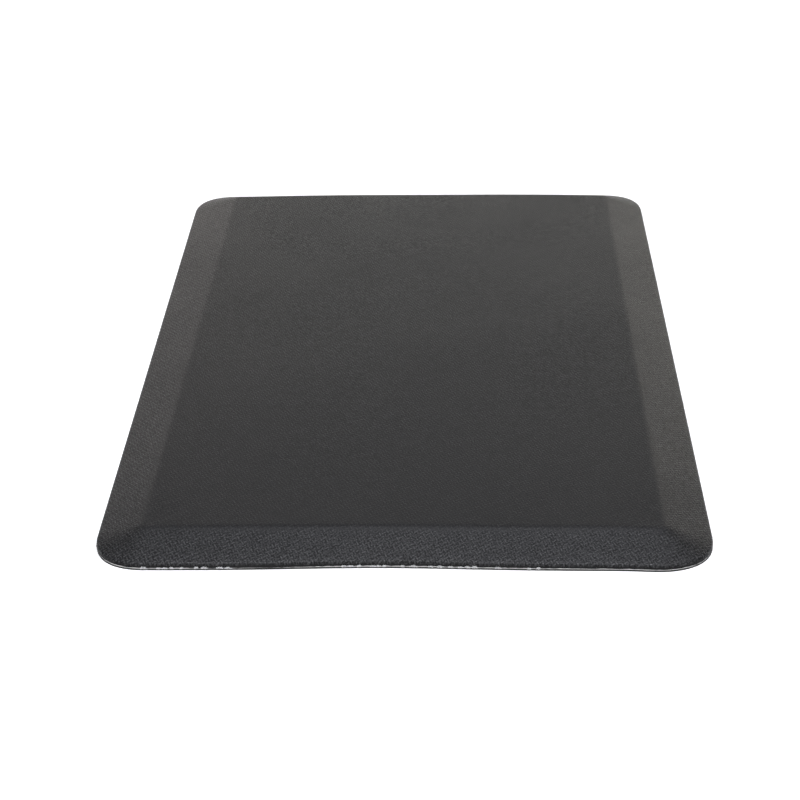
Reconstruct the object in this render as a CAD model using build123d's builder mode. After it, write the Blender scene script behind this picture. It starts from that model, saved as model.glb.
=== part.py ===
"""Anti-fatigue mat: a bevelled foam slab in an embossed vinyl cover, bonded to a non-slip base sheet.

The mat lies on the floor with +Z up. The origin is the middle of its underside, +X runs across
the short side and +Y along the long side. All sizes are in millimetres.

From the floor up it is a base sheet with a studded underside, a foam core, a knitted backing
and a vinyl skin. The four layers meet in an upright trimmed edge all the way round.
"""

from build123d import *
import os

os.makedirs("parts", exist_ok=True)

# Overall size
WIDTH = 508.0  # short side, 20 inches
LENGTH = 762.0  # long side, 30 inches
THICKNESS = 19.0  # floor to standing face, 3/4 inch

# Outline and bevels
CORNER_RADIUS = 40.5  # plan radius of the four outer corners
SIDE_BEVEL = 40.0  # plan width of the bevel along each long side
END_BEVEL = 37.0  # plan width of the bevel along each short side
CREASE_CORNER_RADIUS = 5.0  # plan radius of the standing face's corners
CREASE_RADIUS = 16.0  # roundness of the crease between bevel and standing face
LIP_HEIGHT = 5.6  # where the bevel's slope would meet the upright edge
LIP_RADIUS = 3.5  # roll of the bevel down into the upright edge
LEVEL_TOLERANCE = 0.01  # how far from a stated height an edge may lie and still be on it

# Layers, measured upright
BASE_THICKNESS = 1.0
SKIN_THICKNESS = 0.8
BACKING_THICKNESS = 0.9

# Studded underside of the base sheet
RIM_BAND = 12.0  # plain band round the underside's edge
STUD_HEIGHT = 0.4
STUD_RADIUS = 4.5
STUD_PITCH = 20.0  # centre to centre along X
STUD_ROW = STUD_PITCH * 3**0.5 / 2  # row to row along Y, for an even stagger
STUD_COLUMNS = 23  # in the odd rows; the even rows between them have one less
STUD_ROWS = 21


def formed_block(drop: float) -> Part:
    """The mat's outer form above the base sheet, lowered by drop.

    Two of these a layer's thickness apart enclose that layer, so every layer keeps
    the same trimmed outline and the same rolled lip.
    """
    with BuildPart() as block:
        with BuildSketch(Plane.XY.offset(BASE_THICKNESS)):
            RectangleRounded(WIDTH, LENGTH, CORNER_RADIUS)
        extrude(amount=LIP_HEIGHT - drop - BASE_THICKNESS)
        with BuildSketch(Plane.XY.offset(LIP_HEIGHT - drop)):
            RectangleRounded(WIDTH, LENGTH, CORNER_RADIUS)
        with BuildSketch(Plane.XY.offset(THICKNESS - drop)):
            RectangleRounded(
                WIDTH - 2 * SIDE_BEVEL, LENGTH - 2 * END_BEVEL, CREASE_CORNER_RADIUS
            )
        loft()
        crease = block.edges().group_by(Axis.Z)[-1]
        fillet(crease, radius=CREASE_RADIUS)
        lip_level = LIP_HEIGHT - drop
        lip = block.edges().filter_by_position(
            Axis.Z, lip_level - LEVEL_TOLERANCE, lip_level + LEVEL_TOLERANCE
        )
        fillet(lip, radius=LIP_RADIUS)
    return block.part


cover_form = formed_block(0.0)
backing_form = formed_block(SKIN_THICKNESS)
core_form = formed_block(SKIN_THICKNESS + BACKING_THICKNESS)

# Embossed vinyl skin, the face that is stood on
with BuildPart() as cover_skin:
    add(cover_form)
    add(backing_form, mode=Mode.SUBTRACT)
cover_skin.part.label = "cover_skin"

# White knitted backing, laminated under the skin and showing at the trimmed edge
with BuildPart() as knit_backing:
    add(backing_form)
    add(core_form, mode=Mode.SUBTRACT)
knit_backing.part.label = "knit_backing"

# Foam core, with a thin flange that runs out to the trimmed edge
with BuildPart() as foam_core:
    add(core_form)
foam_core.part.label = "foam_core"

# Non-slip base sheet: a plain band round the edge, and a recessed field of round studs
with BuildPart() as base_sheet:
    with BuildSketch(Plane.XY):
        RectangleRounded(WIDTH, LENGTH, CORNER_RADIUS)
    extrude(amount=BASE_THICKNESS)
    with BuildSketch(Plane.XY):
        RectangleRounded(
            WIDTH - 2 * RIM_BAND, LENGTH - 2 * RIM_BAND, CORNER_RADIUS - RIM_BAND
        )
        with GridLocations(STUD_PITCH, 2 * STUD_ROW, STUD_COLUMNS, STUD_ROWS):
            Circle(STUD_RADIUS, mode=Mode.SUBTRACT)
        with GridLocations(STUD_PITCH, 2 * STUD_ROW, STUD_COLUMNS - 1, STUD_ROWS - 1):
            Circle(STUD_RADIUS, mode=Mode.SUBTRACT)
    extrude(amount=STUD_HEIGHT, mode=Mode.SUBTRACT)
base_sheet.part.label = "base_sheet"

for piece in (cover_skin, knit_backing, foam_core, base_sheet):
    export_step(piece.part, f"parts/{piece.part.label}.step")
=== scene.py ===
"""The looks of the anti-fatigue mat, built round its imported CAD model. All sizes are in metres.

Four layers are remade as soft, slightly uneven pieces that share one plan layout: rings that run
from the trimmed edge up the bevel and over the crease, and a grid across the standing face.
Loose white fibre is added along the trimmed edge.
"""

import math
import random

import bmesh
import bpy
import numpy as np
from mathutils import Matrix, Vector


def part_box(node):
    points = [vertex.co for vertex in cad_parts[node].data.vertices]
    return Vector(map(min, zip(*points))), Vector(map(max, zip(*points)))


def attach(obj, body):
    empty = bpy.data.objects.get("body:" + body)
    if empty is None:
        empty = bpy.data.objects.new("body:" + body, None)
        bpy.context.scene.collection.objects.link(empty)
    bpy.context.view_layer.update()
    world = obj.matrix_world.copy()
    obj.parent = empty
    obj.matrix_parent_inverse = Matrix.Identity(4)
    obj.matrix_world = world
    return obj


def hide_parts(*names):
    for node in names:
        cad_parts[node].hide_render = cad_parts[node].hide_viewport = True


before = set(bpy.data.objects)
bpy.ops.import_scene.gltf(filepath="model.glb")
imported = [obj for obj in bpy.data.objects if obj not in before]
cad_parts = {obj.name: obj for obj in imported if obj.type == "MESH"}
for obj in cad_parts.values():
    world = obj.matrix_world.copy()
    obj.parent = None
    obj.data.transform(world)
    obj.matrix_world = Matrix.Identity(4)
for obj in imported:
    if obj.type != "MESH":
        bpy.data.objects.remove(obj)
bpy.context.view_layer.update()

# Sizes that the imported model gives
_, BASE_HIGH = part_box("base_sheet")
_, SKIN_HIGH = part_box("cover_skin")
KNIT_LOW, KNIT_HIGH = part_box("knit_backing")
_, FOAM_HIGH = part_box("foam_core")
HALF_WIDTH = BASE_HIGH.x
HALF_LENGTH = BASE_HIGH.y
TOP = SKIN_HIGH.z
KNIT_DROP = TOP - KNIT_HIGH.z  # how far the backing's upper face lies under the skin's
FOAM_DROP = TOP - FOAM_HIGH.z
BASE_TOP = BASE_HIGH.z

# Outline and bevels, as in the CAD model
CORNER_RADIUS = 0.0405
SIDE_BEVEL = 0.040
END_BEVEL = 0.037
CREASE_CORNER_RADIUS = 0.005
LIP_HEIGHT = 0.0056
LIP_RADIUS = 0.0035
RIM_BAND = 0.012
STUD_HEIGHT = 0.0004
STUD_RADIUS = 0.0045
STUD_PITCH = 0.020
STUD_COLUMNS = 23
STUD_ROWS = 21

# How the real mat departs from the plain form
CREASE_BLEND = 0.0028  # plan half-width of the rounded crease
FRONT_RADIUS = 0.0443  # plan radius of the front corners
REAR_RADIUS = 0.0408
FRONT_FULLNESS = 0.042  # how far a corner swells outside a plain arc, as a share of its radius
REAR_LEFT_FULLNESS = 0.038
REAR_RIGHT_FULLNESS = 0.052
# Shifts that move the creases. They are given for the mat's edge and ease to nothing at its middle,
# so at the creases themselves they are five to nine tenths of this.
LEFT_CREASE_REAR = 0.0088  # the left crease, inwards, at the rear
LEFT_CREASE_FRONT = -0.0016  # and at the front
RIGHT_CREASE = 0.0008  # the right crease, inwards, all along
REAR_CREASE = 0.0050  # the rear crease, outwards
FRONT_DENT = 0.0036  # the front edge is pushed in this far
DENT_PLACE = -0.0185  # along the edge
DENT_WIDTH = 0.091
DENT_REACH = 0.033  # how fast the dent fades towards the rear
NOSE = 0.0013  # the right end of the front edge stands this far out
NOSE_PLACE = 0.206
NOSE_WIDTH = 0.020
FRONT_LIFT = 0.0002  # the front edge's middle stands this far off the floor
LEFT_DROOP = 0.0001  # the rear left of the standing face lies this much lower
REAR_RISE = 0.0022  # and its middle there this much higher
REAR_START = 0.3  # where the rear begins to rise or droop, as a share of the half length
REAR_SPAN = 0.6  # and how far on it reaches its full height
FRONT_SAG = 0.0008  # the front corners of the standing face are pressed this much lower
SAG_REACH = 0.038
WAVE_HEIGHT = 0.00012  # gentle unevenness of the foam
WAVES = ((23.0, 9.0, 1.0), (-14.0, 19.0, 2.3), (31.0, -5.0, 0.0))  # per metre in x and y, and phase

# The trimmed edge
LIP_WALL = 0.00025  # thickness of the vinyl where it hangs in front of the knit
LAYER_GAP = 0.00002  # air between the faces of neighbouring layers
FOAM_INSET = 0.0006  # how far the foam lies inside the trimmed edge
# How high the lip hangs above the base sheet, at places along the front edge
GAP_PLACES = (-0.254, -0.222, -0.205, -0.175, -0.160, -0.095, -0.055, 0.075, 0.110, 0.215, 0.254)
GAP_HEIGHTS = (0.0012, 0.0012, 0.0012, 0.0012, 0.0008, 0.0008, 0.0012, 0.0012, 0.0011, 0.0011, 0.0012)
GAP_RAGGED = 0.22  # how much the height jumps from point to point, as a share of itself
SIDE_GAP = 0.0011  # mean height along the other edges
SIDE_UNEVEN = 0.6  # how far it swings either way, as a share of itself
SIDE_RIPPLE = (37.0, 29.0, -53.0, 71.0, 0.7)  # two waves, per metre in x and y, and a phase
MIN_GAP = 0.00015

# Mesh layout
ARC_STEPS = 10  # segments in half a corner's arc
END_CELL = 0.003  # length of a segment on the straight ends, where the trimmed edge is seen closely
SIDE_CELL = 0.005
CORNER_CELL = 0.0025  # grid cell beside a corner of the standing face
TOP_INSET = 0.008  # from the crease to the grid
ROLL_STEPS = 6  # rings over the rolled lip, down the slope and over the crease
SLOPE_STEPS = 9
CREASE_STEPS = 5
PAST_CREASE = (0.08, 0.16, 0.25, 0.35, 0.6)  # rings between the crease, at 0, and the grid, at 1
STUD_SEGMENTS = 12
STUD_LEVELS = ((1.0, 1.3), (0.97, 0.5), (0.85, 0.12), (0.6, 0.0))  # shares of its radius and height


def smooth_step(value):
    """0 below 0, 1 above 1, and an even rise between."""
    t = np.clip(value, 0.0, 1.0)
    return t * t * (3.0 - 2.0 * t)


def ripple(x, y, waves):
    """An uneven wave over the plan, between -1 and 1."""
    first_x, first_y, second_x, second_y, phase = waves
    return math.sin(first_x * x + first_y * y) * math.sin(second_x * x + second_y * y + phase)


def corner_walk(half_x, half_y, radii, fullness, counts):
    """Points anticlockwise round a rounded rectangle, from the middle of its front left corner."""
    signs = ((-1, -1), (1, -1), (1, 1), (-1, 1))
    centres = [np.array(sign) * (half_x - radius, half_y - radius) for sign, radius in zip(signs, radii)]

    def corner_point(corner, angle):
        swell = 1 + fullness[corner] * math.sin(2 * angle) ** 2
        return centres[corner] + radii[corner] * swell * np.array((math.cos(angle), math.sin(angle)))

    points = []
    for side in range(4):
        after = (side + 1) % 4
        facing = math.radians(270 + 90 * side)
        for step in range(ARC_STEPS):
            points.append(corner_point(side, facing - math.pi / 4 * (1 - step / ARC_STEPS)))
        start, end = corner_point(side, facing), corner_point(after, facing)
        straight = counts[side % 2]
        for step in range(straight):
            points.append(start + (end - start) * step / straight)
        for step in range(ARC_STEPS):
            points.append(corner_point(after, facing + math.pi / 4 * step / ARC_STEPS))
    return np.array(points)


def band(low, high):
    """Faces between two closed rings of vertices, each an array of vertex numbers."""
    return np.column_stack([low, np.roll(low, -1), np.roll(high, -1), high])


def grid_lines(half, straight):
    """Grid positions along one axis: small cells beside the corners and even ones between."""
    corner = np.arange(ARC_STEPS) * CORNER_CELL - half
    middle = np.linspace(-half + ARC_STEPS * CORNER_CELL, half - ARC_STEPS * CORNER_CELL, straight + 1)
    return np.concatenate([corner, middle, -corner[::-1]])


def skew(points):
    """Shifts the creases off the plain form, and eases the shift out towards the middle."""
    x, y = points[:, 0], points[:, 1]
    along = (y + HALF_LENGTH) / (2 * HALF_LENGTH)
    left = LEFT_CREASE_FRONT + (LEFT_CREASE_REAR - LEFT_CREASE_FRONT) * along
    moved = points.copy()
    moved[:, 0] += left * np.clip(-x / HALF_WIDTH, 0.0, 1.0)
    moved[:, 0] -= RIGHT_CREASE * np.clip(x / HALF_WIDTH, 0.0, 1.0)
    moved[:, 1] += REAR_CREASE * np.clip(y / HALF_LENGTH, 0.0, 1.0)
    return moved


class Layout:
    """The plan layout that the layers share: outline, crease and the standing face's grid."""

    def __init__(self):
        self.counts = (
            round(2 * (HALF_WIDTH - CORNER_RADIUS) / END_CELL),
            round(2 * (HALF_LENGTH - CORNER_RADIUS) / SIDE_CELL),
        )
        radii = (FRONT_RADIUS, FRONT_RADIUS, REAR_RADIUS, REAR_RADIUS)
        fullness = (FRONT_FULLNESS, FRONT_FULLNESS, REAR_RIGHT_FULLNESS, REAR_LEFT_FULLNESS)
        self.outline = corner_walk(HALF_WIDTH, HALF_LENGTH, radii, fullness, self.counts)
        crease_x = HALF_WIDTH - SIDE_BEVEL
        crease_y = HALF_LENGTH - END_BEVEL
        small = (CREASE_CORNER_RADIUS,) * 4
        self.crease = skew(corner_walk(crease_x, crease_y, small, (0.0,) * 4, self.counts))
        self.bevel = np.linalg.norm(self.crease - self.outline, axis=1)
        self.columns = grid_lines(crease_x - TOP_INSET, self.counts[0])
        self.rows = grid_lines(crease_y - TOP_INSET, self.counts[1])
        wide, tall = len(self.columns), len(self.rows)
        x, y = np.meshgrid(self.columns, self.rows)
        self.grid = skew(np.column_stack([x.ravel(), y.ravel()]))
        index = np.arange(wide * tall).reshape(tall, wide)
        self.cells = np.column_stack([
            index[:-1, :-1].ravel(), index[:-1, 1:].ravel(), index[1:, 1:].ravel(), index[1:, :-1].ravel(),
        ])
        self.border = np.concatenate([index[0, :-1], index[:-1, -1], index[-1, :0:-1], index[:0:-1, 0]])

    def ring(self, depth):
        """The ring at a plan depth from the outline, the same at every point of the outline."""
        share = (depth / self.bevel)[:, None]
        return self.outline + (self.crease - self.outline) * share

    def past_crease(self, share):
        """The ring that lies between the crease, at 0, and the grid, at 1."""
        return self.crease + (self.grid[self.border] - self.crease) * share


def bevel_height(depth, bevel, drop):
    """Height of the mat's face, lowered by drop, at a plan depth from the outline."""
    slope = (TOP - LIP_HEIGHT) / bevel
    angle = np.arctan(slope)
    t = (bevel - depth) / CREASE_BLEND
    ramp = np.where(t < -1, 0.0, np.where(t > 1, t, (t + 1) ** 2 / 4))
    face = TOP - slope * CREASE_BLEND * ramp
    centre = LIP_HEIGHT + LIP_RADIUS * np.tan(angle) - LIP_RADIUS / np.cos(angle)
    roll = centre + np.sqrt(np.maximum(LIP_RADIUS**2 - (LIP_RADIUS - depth) ** 2, 0.0))
    return np.where(depth < LIP_RADIUS * (1 - np.sin(angle)), roll, face) - drop


def settle(points):
    """Lays the plain form down as the real mat lies: bowed, a little lifted, uneven."""
    x, y, z = points[:, 0], points[:, 1], points[:, 2]
    across = np.clip(1 - (x / HALF_WIDTH) ** 2, 0.0, 1.0)
    dent = np.exp(-(((x - DENT_PLACE) / DENT_WIDTH) ** 2))
    from_front = y + HALF_LENGTH
    nose = np.exp(-(((x - NOSE_PLACE) / NOSE_WIDTH) ** 2))
    pushed = (FRONT_DENT * dent - NOSE * nose) * np.exp(-from_front / DENT_REACH)
    lift = FRONT_LIFT * across * (1 - smooth_step(from_front / HALF_LENGTH))
    up = np.clip(z / TOP, 0.0, 1.0)
    rear = smooth_step((y - REAR_START * HALF_LENGTH) / (REAR_SPAN * HALF_LENGTH))
    droop = rear * (LEFT_DROOP * smooth_step(-x / HALF_WIDTH))
    rise = REAR_RISE * across * rear
    from_corner = np.hypot(HALF_WIDTH - SIDE_BEVEL - np.abs(x), HALF_LENGTH - END_BEVEL - np.abs(y))
    sag = np.where(y < 0, FRONT_SAG, 0.0) * np.exp(-((from_corner / SAG_REACH) ** 2))
    wave = sum(np.sin(in_x * x + in_y * y + phase) for in_x, in_y, phase in WAVES)
    moved = points.copy()
    moved[:, 1] += pushed
    moved[:, 2] += lift + up * (WAVE_HEIGHT * wave + rise - droop - sag)
    return moved


def upper_face(layout, drop, inset, foot):
    """Vertices and faces of a layer's sloping face, from its foot at the trimmed edge inwards.

    The face is lowered by drop, its edge stands inset inside the outline, and foot is the height
    that its edge hangs down to, which may differ from point to point.
    """
    tangent = LIP_RADIUS * (1 - math.sin(math.atan((TOP - LIP_HEIGHT) / SIDE_BEVEL)))
    around = len(layout.outline)
    rings = []
    for step in range(ROLL_STEPS + 1):
        depth = inset + (tangent - inset) * (1 - math.cos(math.pi / 2 * step / ROLL_STEPS))
        rings.append((layout.ring(depth), np.full(around, depth)))
    for share in np.linspace(0, 1, SLOPE_STEPS + 1)[1:]:
        depth = tangent + (layout.bevel - CREASE_BLEND - tangent) * share
        rings.append((layout.ring(depth), depth))
    for share in np.linspace(-1, 0, CREASE_STEPS + 1)[1:]:
        depth = layout.bevel + CREASE_BLEND * share
        rings.append((layout.ring(depth), depth))
    for share in PAST_CREASE:
        rings.append((layout.past_crease(share), layout.bevel + TOP_INSET * share))
    points = [np.column_stack([layout.ring(inset), np.full(around, foot)])]
    for plan, depth in rings:
        points.append(np.column_stack([plan, bevel_height(depth, layout.bevel, drop)]))
    here = np.arange(around)
    faces = [band(here + number * around, here + (number + 1) * around) for number in range(len(rings))]
    first_cell = len(points) * around
    faces.append(band(here + first_cell - around, layout.border + first_cell))
    points.append(np.column_stack([layout.grid, np.full(len(layout.grid), TOP - drop)]))
    faces.append(layout.cells + first_cell)
    return np.vstack(points), np.vstack(faces)


def lower_face(layout, height, inset):
    """Vertices and faces of a flat lower face that looks down, its outermost ring first."""
    plan = [layout.ring(inset), layout.crease, layout.grid]
    points = np.column_stack([np.vstack(plan), np.full(sum(map(len, plan)), height)])
    around = len(layout.outline)
    here = np.arange(around)
    first_cell = 2 * around
    faces = np.vstack([
        band(here, here + around),
        band(here + around, layout.border + first_cell),
        layout.cells + first_cell,
    ])
    return points, faces[:, ::-1]


def closed_layer(upper, lower, around):
    """Joins an upper and a lower face by a wall between their outermost rings."""
    shift = len(upper[0])
    here = np.arange(around)
    wall = band(here + shift, here)
    return np.vstack([upper[0], lower[0]]), np.vstack([upper[1], lower[1] + shift, wall])


def make_piece(name, points, faces, material, node):
    """A smooth mesh piece that rides on the mat and stands for one CAD node."""
    mesh = bpy.data.meshes.new(name)
    mesh.from_pydata(points.tolist(), [], [list(map(int, face)) for face in faces])
    mesh.validate()
    mesh.materials.append(material)
    mesh.shade_smooth()
    piece = bpy.data.objects.new(name, mesh)
    bpy.context.scene.collection.objects.link(piece)
    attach(piece, "root")
    if node:
        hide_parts(node)
    return piece


# Node helpers


class Nodes:
    """A short way to write a material's nodes."""

    def __init__(self, name):
        self.material = bpy.data.materials.new(name)
        self.material.use_nodes = True
        self.tree = self.material.node_tree
        self.shader = self.tree.nodes["Principled BSDF"]
        coordinates = self.tree.nodes.new("ShaderNodeTexCoord")
        self.place = coordinates.outputs["Object"]

    def link(self, source, socket):
        """Links a socket to another node's output, or gives it a plain number or colour."""
        if isinstance(source, tuple):
            socket.default_value = (*source, 1.0)
        elif isinstance(source, (int, float)):
            socket.default_value = source
        else:
            self.tree.links.new(source, socket)

    def set(self, name, source):
        """Sets or links one of the shader's own inputs."""
        self.link(source, self.shader.inputs[name])

    def math(self, operation, first, second=0.0, third=0.0):
        node = self.tree.nodes.new("ShaderNodeMath")
        node.operation = operation
        for value, socket in zip((first, second, third), node.inputs):
            self.link(value, socket)
        return node.outputs[0]

    def noise(self, scale, detail, roughness=0.5):
        node = self.tree.nodes.new("ShaderNodeTexNoise")
        node.inputs["Scale"].default_value = scale
        node.inputs["Detail"].default_value = detail
        node.inputs["Roughness"].default_value = roughness
        self.link(self.place, node.inputs["Vector"])
        return node.outputs["Fac"]

    def rescale(self, value, low, high, new_low, new_high):
        node = self.tree.nodes.new("ShaderNodeMapRange")
        for number, item in enumerate((value, low, high, new_low, new_high)):
            self.link(item, node.inputs[number])
        return node.outputs[0]

    def smooth(self, value, low, high):
        """An even rise from 0 at low to 1 at high, eased at both ends."""
        node = self.tree.nodes.new("ShaderNodeMapRange")
        node.interpolation_type = "SMOOTHSTEP"
        for number, item in enumerate((value, low, high, 0.0, 1.0)):
            self.link(item, node.inputs[number])
        return node.outputs[0]

    def chance(self, first, second, low, high):
        """A random number between low and high, the same for equal pairs of inputs."""
        join = self.tree.nodes.new("ShaderNodeCombineXYZ")
        self.link(first, join.inputs[0])
        self.link(second, join.inputs[1])
        node = self.tree.nodes.new("ShaderNodeTexWhiteNoise")
        self.link(join.outputs[0], node.inputs["Vector"])
        return self.rescale(node.outputs["Value"], 0.0, 1.0, low, high)

    def mix(self, share, first, second):
        node = self.tree.nodes.new("ShaderNodeMix")
        node.data_type = "RGBA"
        self.link(share, node.inputs["Factor"])
        for colour, name in ((first, "A"), (second, "B")):
            sockets = [item for item in node.inputs if item.name == name and item.type == "RGBA"]
            self.link(colour, sockets[0])
        return [item for item in node.outputs if item.type == "RGBA"][0]

    def bump(self, height, distance, strength=1.0, normal=None):
        node = self.tree.nodes.new("ShaderNodeBump")
        node.inputs["Distance"].default_value = distance
        node.inputs["Strength"].default_value = strength
        self.link(height, node.inputs["Height"])
        if normal:
            self.link(normal, node.inputs["Normal"])
        return node.outputs["Normal"]


# Embossed weave of the vinyl: two families of short raised dashes at right angles to each other,
# one at the corners of the repeat and one at its centre
WEAVE_TURN = math.radians(-15.8)
WEAVE_LONG = 0.00502  # the repeat, along and across
WEAVE_SHORT = 0.00432
DASH_HALF_LENGTH = 0.00185
DASH_HALF_WIDTH = 0.00047
DASH_EDGE = 0.00014  # width of a dash's rounded shoulder
DASH_UNEVEN = 0.50  # the faintest dash is this much lower than the strongest
SPECKLE_SCALE = 780.0  # of the unevenness that breaks the dashes up
SPECKLE_RANGE = (0.42, 0.58)  # values of the noise between which a speckle rises
SPECKLE_BREAK = 0.60  # how much of a dash's height the speckles take away
SPECKLE_FILL = 0.34  # how high they stand between the dashes
STRAY_SCALES = (260.0, 310.0)  # of the two noises that push the emboss about
WEAVE_WANDER = 0.0006  # how far the emboss strays from its lattice
REPEAT_NUDGE = 0.999  # moves the repeats' numbers, bar 0, off whole ones, so that rounding can't flip them
WEAVE_DEPTH = 0.00030
PLAIN_BELOW = 0.0032  # the lip is plain below this height
FULL_ABOVE = 0.0054
SLOPE_BELOW = 0.0165  # the slopes end at this height, and the standing face begins above the next
FACE_ABOVE = 0.0180
# These strengths set how strongly the emboss, and with it the painted shade in its grooves, shows at each
# place
FRONT_STRENGTH = 0.46  # emboss at the standing face's front, as a share of the slopes' strength
REAR_STRENGTH = 1.15  # and at its rear
FRONT_SLOPE_STRENGTH = 0.70
SIDE_STRENGTH = 0.56  # on the other slopes
FRONT_SLOPE_FULL = 0.012  # how far from the front edge the front slope's full strength reaches
FRONT_SLOPE_END = 0.045  # and where it has faded to the other slopes'
MIDDLE_LEVEL = 0.25  # height that a weakened emboss evens out to


def dash(nodes, along, across, turn):
    """Height of the dashes, from 0 to 1, that stand at one place of every repeat."""
    cell_u = nodes.math("WRAP", along, WEAVE_LONG / 2, -WEAVE_LONG / 2)
    cell_v = nodes.math("WRAP", across, WEAVE_SHORT / 2, -WEAVE_SHORT / 2)
    cosine, sine = math.cos(turn), math.sin(turn)
    run = nodes.math("MULTIPLY_ADD", cell_u, cosine, nodes.math("MULTIPLY", cell_v, sine))
    side = nodes.math("MULTIPLY_ADD", cell_v, cosine, nodes.math("MULTIPLY", cell_u, -sine))
    past_middle = nodes.math("SUBTRACT", nodes.math("ABSOLUTE", run), DASH_HALF_LENGTH - DASH_HALF_WIDTH)
    past_end = nodes.math("MAXIMUM", past_middle, 0.0)
    square = nodes.math("MULTIPLY_ADD", past_end, past_end, nodes.math("MULTIPLY", side, side))
    off = nodes.math("SQRT", square)
    height = nodes.smooth(off, DASH_HALF_WIDTH + DASH_EDGE, DASH_HALF_WIDTH - DASH_EDGE)
    column_place = nodes.math("SUBTRACT", along, cell_u)
    row_place = nodes.math("SUBTRACT", across, cell_v)
    column = nodes.math("FLOOR", nodes.math("DIVIDE", column_place, WEAVE_LONG * REPEAT_NUDGE))
    row = nodes.math("FLOOR", nodes.math("DIVIDE", row_place, WEAVE_SHORT * REPEAT_NUDGE))
    return nodes.math("MULTIPLY", height, nodes.chance(column, row, 1 - DASH_UNEVEN, 1.0))


def weave(nodes):
    """Height of the whole emboss, from 0 to 1."""
    split = nodes.tree.nodes.new("ShaderNodeSeparateXYZ")
    nodes.link(nodes.place, split.inputs[0])
    plain_x, plain_y, plain_z = split.outputs
    stray_x, stray_y = [
        nodes.math("MULTIPLY_ADD", nodes.noise(scale, detail=2.0), 2 * WEAVE_WANDER, -WEAVE_WANDER)
        for scale in STRAY_SCALES
    ]
    x = nodes.math("ADD", plain_x, stray_x)
    y = nodes.math("ADD", plain_y, stray_y)
    cosine, sine = math.cos(WEAVE_TURN), math.sin(WEAVE_TURN)
    u = nodes.math("MULTIPLY_ADD", x, cosine, nodes.math("MULTIPLY", y, sine))
    v = nodes.math("MULTIPLY_ADD", y, cosine, nodes.math("MULTIPLY", x, -sine))
    corner = dash(nodes, u, v, math.radians(45))
    half_u = nodes.math("ADD", u, WEAVE_LONG / 2)
    half_v = nodes.math("ADD", v, WEAVE_SHORT / 2)
    centre = dash(nodes, half_u, half_v, math.radians(-45))
    dashes = nodes.math("MAXIMUM", corner, centre)
    speckle = nodes.smooth(nodes.noise(SPECKLE_SCALE, detail=2.0), *SPECKLE_RANGE)
    strength = nodes.rescale(speckle, 0.0, 1.0, 1 - SPECKLE_BREAK, 1.0)
    broken = nodes.math("MULTIPLY", dashes, strength)
    between = nodes.math("SUBTRACT", 1.0, dashes)
    specks = nodes.math("MULTIPLY", between, nodes.math("MULTIPLY", speckle, SPECKLE_FILL))
    above_lip = nodes.smooth(plain_z, PLAIN_BELOW, FULL_ABOVE)
    on_face = nodes.smooth(plain_z, SLOPE_BELOW, FACE_ABOVE)
    # the emboss and its painted groove shade are set fainter towards the standing face's front and stronger
    # towards its rear
    face_fade = nodes.rescale(plain_y, -HALF_LENGTH, HALF_LENGTH, 1 - FRONT_STRENGTH, 1 - REAR_STRENGTH)
    front_slope = nodes.smooth(plain_y, FRONT_SLOPE_END - HALF_LENGTH, FRONT_SLOPE_FULL - HALF_LENGTH)
    slope = nodes.rescale(front_slope, 0.0, 1.0, SIDE_STRENGTH, FRONT_SLOPE_STRENGTH)
    lost = nodes.math("MULTIPLY", on_face, nodes.math("MULTIPLY", face_fade, slope))
    kept = nodes.math("SUBTRACT", slope, lost)
    even = nodes.math("MULTIPLY_ADD", kept, -MIDDLE_LEVEL, MIDDLE_LEVEL)
    height = nodes.math("MULTIPLY_ADD", nodes.math("ADD", broken, specks), kept, even)
    return nodes.math("MULTIPLY", height, above_lip)


# Colours and textures. A pair goes with the low and the high values of the texture that mixes it.
NOISE_RANGE = (0.3, 0.7)  # where a noise's values mostly lie
VINYL_TONES = ((0.0790, 0.0800, 0.0830), (0.0950, 0.0945, 0.0955))
# near-black painted shade for the grooves between the emboss's dashes
GROOVE_PAINTED_SHADE = (0.0010, 0.0010, 0.0012)
VINYL_ROUGHNESS = (0.56, 0.30)  # in the grooves and on the emboss
VINYL_GLOSS = (0.22, 1.0)
CLOUD_SCALE = 9.0  # slow changes of tone
CLOUD_ROUGHNESS = (-0.03, 0.03)
GRAIN_SCALE = 2400.0
GRAIN_DEPTH = 0.00002
GRAIN_STRENGTH = 0.6
KNIT_TONES = ((0.74, 0.73, 0.71), (0.92, 0.91, 0.89))
KNIT_ROUGHNESS = (0.95, 0.8)
KNIT_SHEEN = 0.25
LOOP_SCALE = 1900.0
LOOP_DEPTH = 0.0002
FIBRE_TONES = ((0.90, 0.90, 0.89), (1.0, 1.0, 1.0))
FIBRE_ROUGHNESS = (0.8, 0.6)
FIBRE_SHEEN = 0.6
SHADE_SCALE = 700.0
SHADE_DEPTH = 0.00002
FOAM_TONES = ((0.34, 0.33, 0.30), (0.66, 0.64, 0.58))
FOAM_ROUGHNESS = (0.95, 0.85)
CELL_SCALE = 2600.0
CELL_DEPTH = 0.00015
RUBBER_TONES = ((0.014, 0.014, 0.015), (0.052, 0.052, 0.050))
RUBBER_ROUGHNESS = (0.85, 0.7)
DUST_SCALE = 38.0
PEBBLE_SCALE = 1500.0
PEBBLE_DEPTH = 0.00008


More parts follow.
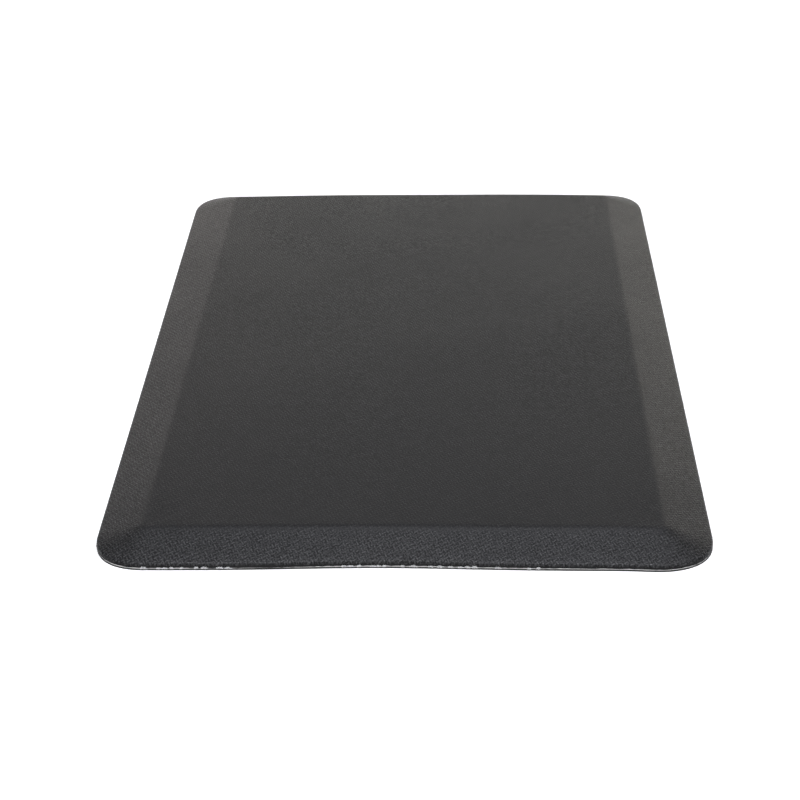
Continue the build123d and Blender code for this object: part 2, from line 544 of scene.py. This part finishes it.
def vinyl_material():
    """Black embossed vinyl: satin, a little uneven in tone, polished on the tops of the emboss, with
    painted shade darkening its grooves to near black.
    """
    nodes = Nodes("embossed_vinyl")
    emboss = weave(nodes)
    cloudy = nodes.noise(CLOUD_SCALE, detail=4.0)
    grain = nodes.noise(GRAIN_SCALE, detail=2.0)
    # the colour darkens to the painted groove shade where the emboss is low
    nodes.set("Base Color", nodes.mix(emboss, GROOVE_PAINTED_SHADE, nodes.mix(cloudy, *VINYL_TONES)))
    rough = nodes.rescale(emboss, 0.0, 1.0, *VINYL_ROUGHNESS)
    drift = nodes.rescale(cloudy, *NOISE_RANGE, *CLOUD_ROUGHNESS)
    nodes.set("Roughness", nodes.math("ADD", rough, drift))
    nodes.set("Specular IOR Level", nodes.rescale(emboss, 0.0, 1.0, *VINYL_GLOSS))
    fine = nodes.bump(grain, GRAIN_DEPTH, GRAIN_STRENGTH)
    nodes.set("Normal", nodes.bump(emboss, WEAVE_DEPTH, 1.0, fine))
    return nodes.material


def knit_material():
    """White polyester knit, with the shadow of its loops."""
    nodes = Nodes("white_knit")
    loops = nodes.noise(LOOP_SCALE, detail=3.0, roughness=0.6)
    nodes.set("Base Color", nodes.mix(loops, *KNIT_TONES))
    nodes.set("Roughness", nodes.rescale(loops, *NOISE_RANGE, *KNIT_ROUGHNESS))
    nodes.set("Sheen Weight", KNIT_SHEEN)
    nodes.set("Normal", nodes.bump(loops, LOOP_DEPTH))
    return nodes.material


def fibre_material():
    """Loose white fibre: matt, soft at its edges, a little uneven in tone."""
    nodes = Nodes("white_fibre")
    shade = nodes.noise(SHADE_SCALE, detail=2.0)
    nodes.set("Base Color", nodes.mix(shade, *FIBRE_TONES))
    nodes.set("Roughness", nodes.rescale(shade, *NOISE_RANGE, *FIBRE_ROUGHNESS))
    nodes.set("Sheen Weight", FIBRE_SHEEN)
    nodes.set("Normal", nodes.bump(shade, SHADE_DEPTH))
    return nodes.material


def foam_material():
    """Pale open-cell foam at the cut edge, with painted shade in the pits of its cells."""
    nodes = Nodes("foam")
    cells = nodes.tree.nodes.new("ShaderNodeTexVoronoi")
    cells.inputs["Scale"].default_value = CELL_SCALE
    nodes.link(nodes.place, cells.inputs["Vector"])
    depth = cells.outputs["Distance"]
    # the colour darkens where the cells' bump is low: painted shade in their pits
    nodes.set("Base Color", nodes.mix(depth, *FOAM_TONES))
    nodes.set("Roughness", nodes.rescale(depth, 0.0, 1.0, *FOAM_ROUGHNESS))
    nodes.set("Normal", nodes.bump(depth, CELL_DEPTH))
    return nodes.material


def base_material():
    """Dark, matt, slightly dusty base sheet."""
    nodes = Nodes("base_rubber")
    dust = nodes.noise(DUST_SCALE, detail=5.0, roughness=0.6)
    pebble = nodes.noise(PEBBLE_SCALE, detail=3.0, roughness=0.55)
    nodes.set("Base Color", nodes.mix(dust, *RUBBER_TONES))
    nodes.set("Roughness", nodes.rescale(pebble, *NOISE_RANGE, *RUBBER_ROUGHNESS))
    nodes.set("Normal", nodes.bump(pebble, PEBBLE_DEPTH))
    return nodes.material


VINYL = vinyl_material()
KNIT = knit_material()
FIBRE = fibre_material()
FOAM = foam_material()
RUBBER = base_material()

LAYOUT = Layout()
AROUND = len(LAYOUT.outline)


def at_front(y):
    """Whether a place on the outline belongs to the front edge."""
    return y < -HALF_LENGTH + FRONT_RADIUS / 2


def lip_foot():
    """How low the vinyl's lip hangs in front of the knit, at each point of the outline."""
    chance = random.Random(5)
    feet = []
    for x, y in LAYOUT.outline:
        if at_front(y):
            gap = float(np.interp(x, GAP_PLACES, GAP_HEIGHTS))
        else:
            gap = SIDE_GAP * (1 + SIDE_UNEVEN * ripple(x, y, SIDE_RIPPLE))
        feet.append(BASE_TOP + max(MIN_GAP, gap * chance.uniform(1 - GAP_RAGGED, 1 + GAP_RAGGED)))
    return np.array(feet)


def make_cover():
    """The embossed vinyl skin, whose lip rolls down over the edge of the knit."""
    feet = lip_foot()
    outer = upper_face(LAYOUT, 0.0, 0.0, feet)
    inner_points, inner_faces = upper_face(LAYOUT, KNIT_DROP, LIP_WALL, feet)
    points, faces = closed_layer(outer, (inner_points, inner_faces[:, ::-1]), AROUND)
    cover = make_piece("cover", settle(points), faces, VINYL, "cover_skin")


def make_backing():
    """The knit backing, which shows as a ragged pale line under the lip."""
    outer = upper_face(LAYOUT, KNIT_DROP, LIP_WALL + LAYER_GAP, KNIT_LOW.z)
    inner_points, inner_faces = upper_face(LAYOUT, FOAM_DROP, FOAM_INSET - LAYER_GAP, KNIT_LOW.z)
    points, faces = closed_layer(outer, (inner_points, inner_faces[:, ::-1]), AROUND)
    make_piece("backing", settle(points), faces, KNIT, "knit_backing")


def make_foam():
    """The foam core, with the thin flange that reaches the trimmed edge."""
    outer = upper_face(LAYOUT, FOAM_DROP, FOAM_INSET, KNIT_LOW.z)
    points, faces = closed_layer(outer, lower_face(LAYOUT, BASE_TOP, FOAM_INSET), AROUND)
    foam = make_piece("foam", settle(points), faces, FOAM, "foam_core")


def stud_centres():
    """Middles of the studs, in staggered rows."""
    row = STUD_PITCH * math.sqrt(3) / 2
    for columns, rows in ((STUD_COLUMNS, STUD_ROWS), (STUD_COLUMNS - 1, STUD_ROWS - 1)):
        for i in range(columns):
            for j in range(rows):
                yield (i - (columns - 1) / 2) * STUD_PITCH, (j - (rows - 1) / 2) * 2 * row


def stud(x, y):
    """A low dome that hangs from the recessed field down to the floor."""
    points, faces = [], []
    for share, height in STUD_LEVELS:
        radius = share * STUD_RADIUS
        for k in range(STUD_SEGMENTS):
            angle = 2 * math.pi * k / STUD_SEGMENTS
            point = (x + radius * math.cos(angle), y + radius * math.sin(angle), height * STUD_HEIGHT)
            points.append(point)
    for level in range(len(STUD_LEVELS) - 1):
        for k in range(STUD_SEGMENTS):
            after = (k + 1) % STUD_SEGMENTS
            low, high = level * STUD_SEGMENTS, (level + 1) * STUD_SEGMENTS
            faces.append([low + after, low + k, high + k, high + after])
    lowest = (len(STUD_LEVELS) - 1) * STUD_SEGMENTS
    faces.append([lowest + k for k in reversed(range(STUD_SEGMENTS))])
    faces.append(list(range(STUD_SEGMENTS)))
    return points, faces


def make_base():
    """The base sheet, with its plain rim band, recessed field and domed studs."""
    top_points, top_faces = lower_face(LAYOUT, BASE_TOP, 0.0)
    here = np.arange(AROUND)
    steps = ((0.0, 0.0), (RIM_BAND, 0.0), (RIM_BAND + STUD_HEIGHT, STUD_HEIGHT))
    rings = [np.column_stack([LAYOUT.ring(depth), np.full(AROUND, height)]) for depth, height in steps]
    field = np.column_stack([LAYOUT.grid, np.full(len(LAYOUT.grid), STUD_HEIGHT)])
    points = [top_points, *rings, field]
    start = len(top_points)
    faces = [top_faces[:, ::-1], band(here + start, here)]
    for number in range(len(rings) - 1):
        low = start + number * AROUND
        faces.append(band(here + low + AROUND, here + low))
    last = start + (len(rings) - 1) * AROUND
    field_start = last + AROUND
    faces.append(band(LAYOUT.border + field_start, here + last))
    faces.append(LAYOUT.cells[:, ::-1] + field_start)
    all_points = np.vstack(points).tolist()
    all_faces = [list(map(int, face)) for group in faces for face in group]
    for x, y in stud_centres():
        new_points, new_faces = stud(x, y)
        shift = len(all_points)
        all_points.extend(new_points)
        all_faces.extend([[number + shift for number in face] for face in new_faces])
    make_piece("base", settle(np.array(all_points)), all_faces, RUBBER, "base_sheet")


# Frayed knit at the trimmed edge
FRAY_STEP = 0.0062  # mean spacing of possible tufts along the edge
FRAY_UNEVEN = (0.6, 1.4)  # shares of it that a step may take
FIBRE_RADIUS = 0.00014
FIBRE_SIDES = 3
FIBRE_STEPS = 4
# Likelihood of a tuft at places along the front edge
FRAY_PLACES = (-0.254, -0.215, -0.200, -0.150, -0.140, -0.060, -0.045, 0.040, 0.085, 0.120, 0.254)
FRAY_SHARES = (0.00, 0.10, 0.80, 0.70, 0.20, 0.25, 1.00, 1.00, 0.70, 0.12, 0.00)
SIDE_FRAY = 0.08  # likelihood of a tuft at the other edges
CLUMP_MEAN = 0.75  # tufts come in clumps: the likelihood swings round this share of itself
CLUMP_SWING = 0.5
CLUMP_RIPPLE = (410.0, 170.0, 157.0, -60.0, 1.3)
TUFT_HEIGHT = (0.0010, 0.0020)
TUFT_SPREAD = (0.0008, 0.0026)
TUFT_FIBRES = (70, 110)
TUFT_TAPER = 0.7  # how much lower a tuft is at its ends than in its middle
TUFT_ROOT = -0.1  # how far down its fibres start, as a share of its height
FIBRE_LENGTH = (0.0008, 0.0014)
FIBRE_LEAN = (0.4, 1.0)  # along the edge, up and outwards, as shares of a fibre's length
FIBRE_RISE = (-0.3, 0.4)
FIBRE_REACH = (0.2, 0.55)
BULGE_START = 0.1  # the part of a half sine that a fibre's bulge follows
BULGE_SPAN = 0.8
SIDE_TUFT = 0.3  # size of the tufts elsewhere than at the front
UP = np.array((0.0, 0.0, 1.0))


def fray_share(x, y):
    """How likely a tuft is at a place on the edge."""
    clumps = CLUMP_MEAN + CLUMP_SWING * ripple(x, y, CLUMP_RIPPLE)
    if at_front(y):
        return clumps * float(np.interp(x, FRAY_PLACES, FRAY_SHARES))
    return clumps * SIDE_FRAY


def fibre(chance, start, outward, along):
    """One short curl of fibre that lies mostly along the edge and bulges out from it."""
    length = chance.uniform(*FIBRE_LENGTH)
    lean = chance.choice((-1, 1)) * chance.uniform(*FIBRE_LEAN)
    rise = chance.uniform(*FIBRE_RISE)
    reach = chance.uniform(*FIBRE_REACH)
    path = []
    for step in range(FIBRE_STEPS + 1):
        t = step / FIBRE_STEPS
        bulge = math.sin(math.pi * (BULGE_START + BULGE_SPAN * t))
        path.append(start + length * (outward * reach * bulge + along * lean * t + UP * rise * t))
    heading = path[-1] - path[0]
    heading = heading / np.linalg.norm(heading)
    first = np.cross(heading, outward)
    first = first / np.linalg.norm(first)
    second = np.cross(heading, first)
    points, faces = [], []
    for centre in path:
        for k in range(FIBRE_SIDES):
            angle = 2 * math.pi * k / FIBRE_SIDES
            points.append(centre + FIBRE_RADIUS * (first * math.cos(angle) + second * math.sin(angle)))
    for step in range(FIBRE_STEPS):
        for k in range(FIBRE_SIDES):
            after = (k + 1) % FIBRE_SIDES
            low, high = step * FIBRE_SIDES, (step + 1) * FIBRE_SIDES
            faces.append([low + k, low + after, high + after, high + k])
    faces.append(list(reversed(range(FIBRE_SIDES))))
    faces.append([FIBRE_STEPS * FIBRE_SIDES + k for k in range(FIBRE_SIDES)])
    return points, faces


def make_fray():
    """Tufts of white fibre along the backing's cut edge."""
    chance = random.Random(11)
    root = KNIT_LOW.z + LIP_WALL
    edge = settle(np.column_stack([LAYOUT.outline, np.full(AROUND, root)]))
    points, faces = [], []
    lengths = np.linalg.norm(np.roll(edge, -1, axis=0) - edge, axis=1)
    ends = np.cumsum(lengths)
    travelled = FRAY_STEP * chance.random()
    while travelled < ends[-1]:
        number = int(np.searchsorted(ends, travelled))
        here, there = edge[number], edge[(number + 1) % AROUND]
        along = (there - here) / lengths[number]
        outward = np.array((along[1], -along[0], 0.0))
        place = there - along * (ends[number] - travelled)
        travelled += FRAY_STEP * chance.uniform(*FRAY_UNEVEN)
        if chance.random() > fray_share(place[0], place[1]):
            continue
        size = 1.0 if at_front(place[1]) else SIDE_TUFT
        height = size * chance.uniform(*TUFT_HEIGHT)
        spread = size * chance.uniform(*TUFT_SPREAD)
        for _ in range(chance.randint(*TUFT_FIBRES)):
            offset = chance.uniform(-1.0, 1.0)
            lifted = chance.uniform(TUFT_ROOT, 1.0) * height * (1 - TUFT_TAPER * offset**2)
            start = place + along * offset * spread + UP * lifted
            new_points, new_faces = fibre(chance, start, outward, along)
            shift = len(points)
            points.extend(new_points)
            faces.extend([[index + shift for index in face] for face in new_faces])
    make_piece("fray", np.array(points), faces, FIBRE, None)


make_cover()
make_backing()
make_foam()
make_base()
make_fray()

# Floor, light and camera
FLOOR_SIZE = 3.0
FLOOR_COLOUR = (0.90, 0.90, 0.90)
FLOOR_GLOW = 0.56
FLOOR_ROUGHNESS = 0.9
FLOOR_GLOSS = 0.1
WHITE = (1.0, 1.0, 1.0)
BLACK = (0.0, 0.0, 0.0)
BACKDROP_RADIUS = 24.0
BACKDROP_SEGMENTS = 48
WORLD_LIGHT = 0.05
# name, place, aimed at, width, height, power in watts, colour
LIGHTS = (
    ("above", (0.2, -0.8, 2.6), (0.0, 0.0, 0.0), 2.6, 1.6, 68.0, (0.93, 0.94, 1.0)),
    ("low_card", (0.0, 1.25, 0.28), (0.0, 0.3, 0.0), 2.4, 0.5, 4.55, (1.0, 0.98, 0.93)),
    ("rear_left", (-0.75, 1.15, 0.28), (-0.2, 0.2, 0.0), 0.8, 0.5, 0.40, (1.0, 0.78, 0.76)),
    ("rear_right", (1.3, 1.7, 0.42), (0.2, 0.2, 0.0), 1.2, 0.7, 2.30, (1.0, 0.90, 0.75)),
)
CAMERA_PLACE = Vector((0.0429, -1.6445, 0.8561))
CAMERA_DOWN = math.radians(28.930)
CAMERA_YAW = math.radians(-1.922)
CAMERA_ROLL = math.radians(-0.976)
CAMERA_LENS = 84.90  # in millimetres, as the sensor is
SENSOR_WIDTH = 36.0
CLIP_START = 0.05
CLIP_END = 60.0


def make_floor():
    """A plain, very pale floor that fades into the background."""
    bpy.ops.mesh.primitive_plane_add(size=FLOOR_SIZE, location=(0, 0, 0))
    floor = bpy.context.object
    floor.name = "floor"
    nodes = Nodes("floor_white")
    nodes.set("Base Color", FLOOR_COLOUR)
    nodes.set("Roughness", FLOOR_ROUGHNESS)
    nodes.set("Specular IOR Level", FLOOR_GLOSS)
    nodes.set("Emission Color", WHITE)
    nodes.set("Emission Strength", FLOOR_GLOW)
    floor.data.materials.append(nodes.material)


def make_backdrop():
    """A plain white dome round the floor, which the camera sees and which lights nothing."""
    shell = bmesh.new()
    rings = BACKDROP_SEGMENTS // 2
    bmesh.ops.create_uvsphere(shell, u_segments=BACKDROP_SEGMENTS, v_segments=rings, radius=BACKDROP_RADIUS)
    bmesh.ops.reverse_faces(shell, faces=shell.faces)
    mesh = bpy.data.meshes.new("backdrop")
    shell.to_mesh(mesh)
    shell.free()
    mesh.shade_smooth()
    nodes = Nodes("backdrop_white")
    nodes.set("Base Color", BLACK)
    nodes.set("Specular IOR Level", 0.0)
    nodes.set("Emission Color", WHITE)
    nodes.set("Emission Strength", 1.0)
    mesh.materials.append(nodes.material)
    backdrop = bpy.data.objects.new("backdrop", mesh)
    bpy.context.scene.collection.objects.link(backdrop)
    backdrop.visible_diffuse = False
    backdrop.visible_glossy = False
    backdrop.visible_transmission = False
    backdrop.visible_shadow = False


def make_lights():
    """A white studio: faint even surroundings and four large soft lamps."""
    world = bpy.data.worlds.new("studio")
    world.use_nodes = True
    background = world.node_tree.nodes["Background"]
    background.inputs["Color"].default_value = (*WHITE, 1.0)
    background.inputs["Strength"].default_value = WORLD_LIGHT
    bpy.context.scene.world = world
    for name, place, aim, width, height, power, colour in LIGHTS:
        lamp = bpy.data.lights.new(name, "AREA")
        lamp.shape = "RECTANGLE"
        lamp.size, lamp.size_y = width, height
        lamp.energy = power
        lamp.color = colour
        holder = bpy.data.objects.new(name, lamp)
        holder.visible_camera = False
        holder.location = place
        holder.rotation_euler = (Vector(aim) - Vector(place)).to_track_quat("-Z", "Y").to_euler()
        bpy.context.scene.collection.objects.link(holder)


def make_camera():
    """A short telephoto lens, low in front of the mat and looking down at it."""
    ahead = Vector((
        math.sin(CAMERA_YAW) * math.cos(CAMERA_DOWN),
        math.cos(CAMERA_YAW) * math.cos(CAMERA_DOWN),
        -math.sin(CAMERA_DOWN),
    ))
    level = Vector((math.cos(CAMERA_YAW), -math.sin(CAMERA_YAW), 0.0))
    over = level.cross(ahead)
    right = level * math.cos(CAMERA_ROLL) + over * math.sin(CAMERA_ROLL)
    up = over * math.cos(CAMERA_ROLL) - level * math.sin(CAMERA_ROLL)
    data = bpy.data.cameras.new("camera")
    data.lens = CAMERA_LENS
    data.sensor_width = SENSOR_WIDTH
    data.clip_start, data.clip_end = CLIP_START, CLIP_END
    camera = bpy.data.objects.new("camera", data)
    turn = Matrix((right, up, -ahead)).transposed().to_4x4()
    camera.matrix_world = Matrix.Translation(CAMERA_PLACE) @ turn
    bpy.context.scene.collection.objects.link(camera)
    bpy.context.scene.camera = camera


make_floor()
make_backdrop()
make_lights()
make_camera()
bpy.context.scene.view_settings.view_transform = "Standard"
